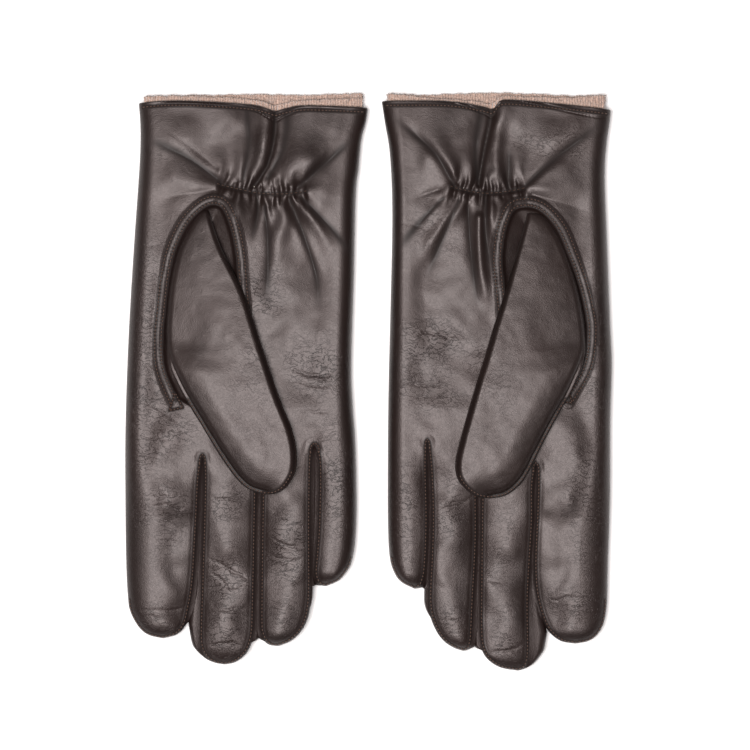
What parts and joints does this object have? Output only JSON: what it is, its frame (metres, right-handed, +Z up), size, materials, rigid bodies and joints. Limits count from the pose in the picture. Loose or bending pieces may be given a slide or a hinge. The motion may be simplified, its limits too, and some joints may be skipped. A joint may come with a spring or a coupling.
{
  "type": "touchscreen gloves",
  "caption": "Pair of lined leather gloves lying palm up with the thumbs folded over the palms, gathered wrists, hemmed cuffs and conductive pads in the thumb and index tips.",
  "frame": {"origin": "middle of the pair's base, where the backs of both gloves rest", "axes": "+Y towards the cuffs, +X towards the left-hand glove, +Z up out of the palms"},
  "size_m": [0.2194, 0.2588, 0.0283],
  "materials": {
    "leather": "smooth grained nappa, semi-gloss",
    "lining": "soft brushed knit",
    "thread": "waxed sewing thread",
    "elastic": "matte woven elastic",
    "conductive_pad": "matte conductive cloth"
  },
  "bodies": {
    "right_hand": {"right_trank": "leather", "right_root_fourchettes": "leather", "right_thumb_quirk": "leather", "right_cuff_hem": "leather", "right_wrist_elastic": "elastic", "right_hand_lining": "lining", "right_cuff_stitching": "thread", "right_elastic_stitching": "thread", "right_thumb_seam_stitching": "thread"},
    "right_index_finger": {"right_index_leather": "leather", "right_index_fourchettes": "leather", "right_index_lining": "lining", "right_index_stitching": "thread", "right_index_touch_pad": "conductive_pad"},
    "right_middle_finger": {"right_middle_leather": "leather", "right_middle_fourchettes": "leather", "right_middle_lining": "lining", "right_middle_stitching": "thread"},
    "right_ring_finger": {"right_ring_leather": "leather", "right_ring_fourchettes": "leather", "right_ring_lining": "lining", "right_ring_stitching": "thread"},
    "right_little_finger": {"right_little_leather": "leather", "right_little_fourchettes": "leather", "right_little_lining": "lining", "right_little_stitching": "thread"},
    "right_thumb": {"right_thumb_leather": "leather", "right_thumb_lining": "lining", "right_thumb_stitching": "thread", "right_thumb_touch_pad": "conductive_pad"},
    "left_hand": {"left_trank": "leather", "left_root_fourchettes": "leather", "left_thumb_quirk": "leather", "left_cuff_hem": "leather", "left_wrist_elastic": "elastic", "left_hand_lining": "lining", "left_cuff_stitching": "thread", "left_elastic_stitching": "thread", "left_thumb_seam_stitching": "thread"},
    "left_index_finger": {"left_index_leather": "leather", "left_index_fourchettes": "leather", "left_index_lining": "lining", "left_index_stitching": "thread", "left_index_touch_pad": "conductive_pad"},
    "left_middle_finger": {"left_middle_leather": "leather", "left_middle_fourchettes": "leather", "left_middle_lining": "lining", "left_middle_stitching": "thread"},
    "left_ring_finger": {"left_ring_leather": "leather", "left_ring_fourchettes": "leather", "left_ring_lining": "lining", "left_ring_stitching": "thread"},
    "left_little_finger": {"left_little_leather": "leather", "left_little_fourchettes": "leather", "left_little_lining": "lining", "left_little_stitching": "thread"},
    "left_thumb": {"left_thumb_leather": "leather", "left_thumb_lining": "lining", "left_thumb_stitching": "thread", "left_thumb_touch_pad": "conductive_pad"}
  },
  "joints": [
    {"name": "right_index_knuckle", "type": "hinge", "parent": "right_hand", "child": "right_index_finger", "pos_m": [-0.09385, -0.05834, 0.013], "axis": [-0.9999, 0.0122, 0], "range_deg": [0, 90]},
    {"name": "right_middle_knuckle", "type": "hinge", "parent": "right_hand", "child": "right_middle_finger", "pos_m": [-0.06489, -0.06495, 0.013], "axis": [-0.9998, 0.0209, 0], "range_deg": [0, 90]},
    {"name": "right_ring_knuckle", "type": "hinge", "parent": "right_hand", "child": "right_ring_finger", "pos_m": [-0.03907, -0.06149, 0.013], "axis": [-0.9999, 0.0157, 0], "range_deg": [0, 90]},
    {"name": "right_little_knuckle", "type": "hinge", "parent": "right_hand", "child": "right_little_finger", "pos_m": [-0.01674, -0.05795, 0.013], "axis": [-0.9999, 0.0122, 0], "range_deg": [0, 90]},
    {"name": "right_thumb_root", "type": "hinge", "parent": "right_hand", "child": "right_thumb", "pos_m": [-0.08953, 0.04559, 0.016], "axis": [-0.226, -0.9741, 0], "range_deg": [0, 120]},
    {"name": "left_glove_apart", "type": "slide", "parent": "right_hand", "child": "left_hand", "axis": [1, 0, 0], "range_m": [0, 0.15]},
    {"name": "left_index_knuckle", "type": "hinge", "parent": "left_hand", "child": "left_index_finger", "pos_m": [0.09385, -0.05834, 0.013], "axis": [-0.9999, -0.0122, 0], "range_deg": [0, 90]},
    {"name": "left_middle_knuckle", "type": "hinge", "parent": "left_hand", "child": "left_middle_finger", "pos_m": [0.06489, -0.06495, 0.013], "axis": [-0.9998, -0.0209, 0], "range_deg": [0, 90]},
    {"name": "left_ring_knuckle", "type": "hinge", "parent": "left_hand", "child": "left_ring_finger", "pos_m": [0.03907, -0.06149, 0.013], "axis": [-0.9999, -0.0157, 0], "range_deg": [0, 90]},
    {"name": "left_little_knuckle", "type": "hinge", "parent": "left_hand", "child": "left_little_finger", "pos_m": [0.01674, -0.05795, 0.013], "axis": [-0.9999, -0.0122, 0], "range_deg": [0, 90]},
    {"name": "left_thumb_root", "type": "hinge", "parent": "left_hand", "child": "left_thumb", "pos_m": [0.08953, 0.04559, 0.016], "axis": [-0.226, 0.9741, 0], "range_deg": [0, 120]}
  ]
}
